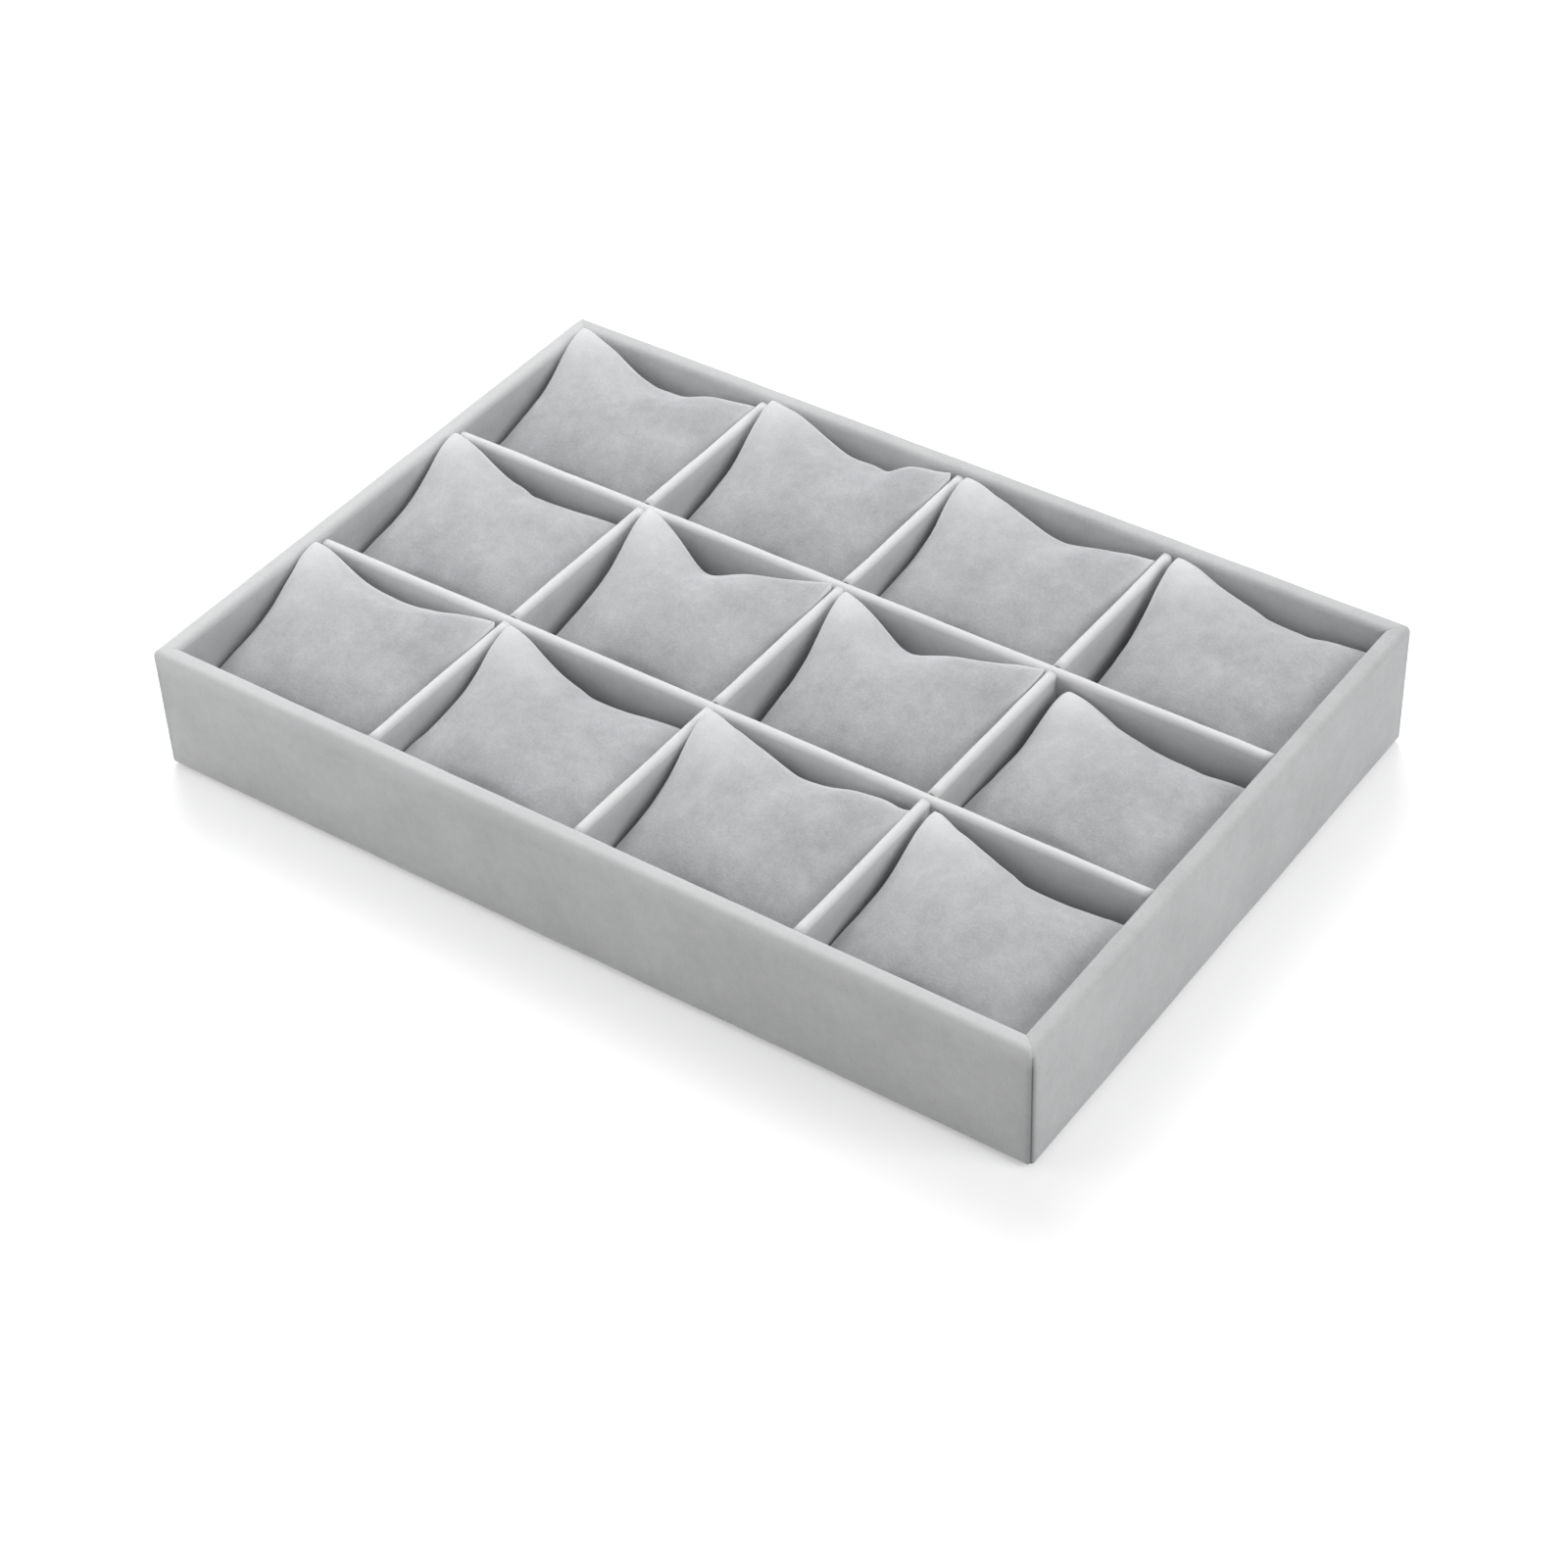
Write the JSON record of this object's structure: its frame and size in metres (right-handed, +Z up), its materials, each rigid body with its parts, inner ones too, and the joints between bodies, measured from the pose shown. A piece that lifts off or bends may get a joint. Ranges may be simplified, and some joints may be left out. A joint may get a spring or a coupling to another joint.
{
  "type": "watch display tray",
  "caption": "Low open display tray covered in grey velvet, with upright dividers that part it into compartments, each holding a tilted loose velvet pillow for a watch.",
  "frame": {"origin": "middle of the underside of the base sheet", "axes": "+X along the tray's length to the right, +Y to the back, where the pillows are raised, +Z up"},
  "size_m": [0.35, 0.24, 0.05],
  "materials": {
    "greyboard": "dense grey cardboard, cut edges",
    "wall_velvet": "light grey velvet, soft mottled nap",
    "divider_velvet": "light grey velvet folded over the divider",
    "floor_velvet": "light grey velvet, flat",
    "pillow_velvet": "light grey velvet, stuffed and sewn",
    "base_paper": "matt dark grey lining paper"
  },
  "bodies": {
    "root": {"base_board": "greyboard", "front_board": "greyboard", "back_board": "greyboard", "left_board": "greyboard", "right_board": "greyboard", "long_core_1": "greyboard", "long_core_2": "greyboard", "short_core_1": "greyboard", "short_core_2": "greyboard", "short_core_3": "greyboard", "front_cover": "wall_velvet", "back_cover": "wall_velvet", "left_cover": "wall_velvet", "right_cover": "wall_velvet", "long_sleeve_1": "divider_velvet", "long_sleeve_2": "divider_velvet", "short_sleeve_1": "divider_velvet", "short_sleeve_2": "divider_velvet", "short_sleeve_3": "divider_velvet", "base_sheet": "base_paper", "floor_lining": "floor_velvet", "pillow_front_1": "pillow_velvet", "pillow_front_2": "pillow_velvet", "pillow_front_3": "pillow_velvet", "pillow_front_4": "pillow_velvet", "pillow_middle_1": "pillow_velvet", "pillow_middle_2": "pillow_velvet", "pillow_middle_3": "pillow_velvet", "pillow_middle_4": "pillow_velvet", "pillow_back_1": "pillow_velvet", "pillow_back_2": "pillow_velvet", "pillow_back_3": "pillow_velvet", "pillow_back_4": "pillow_velvet"}
  },
  "joints": []
}
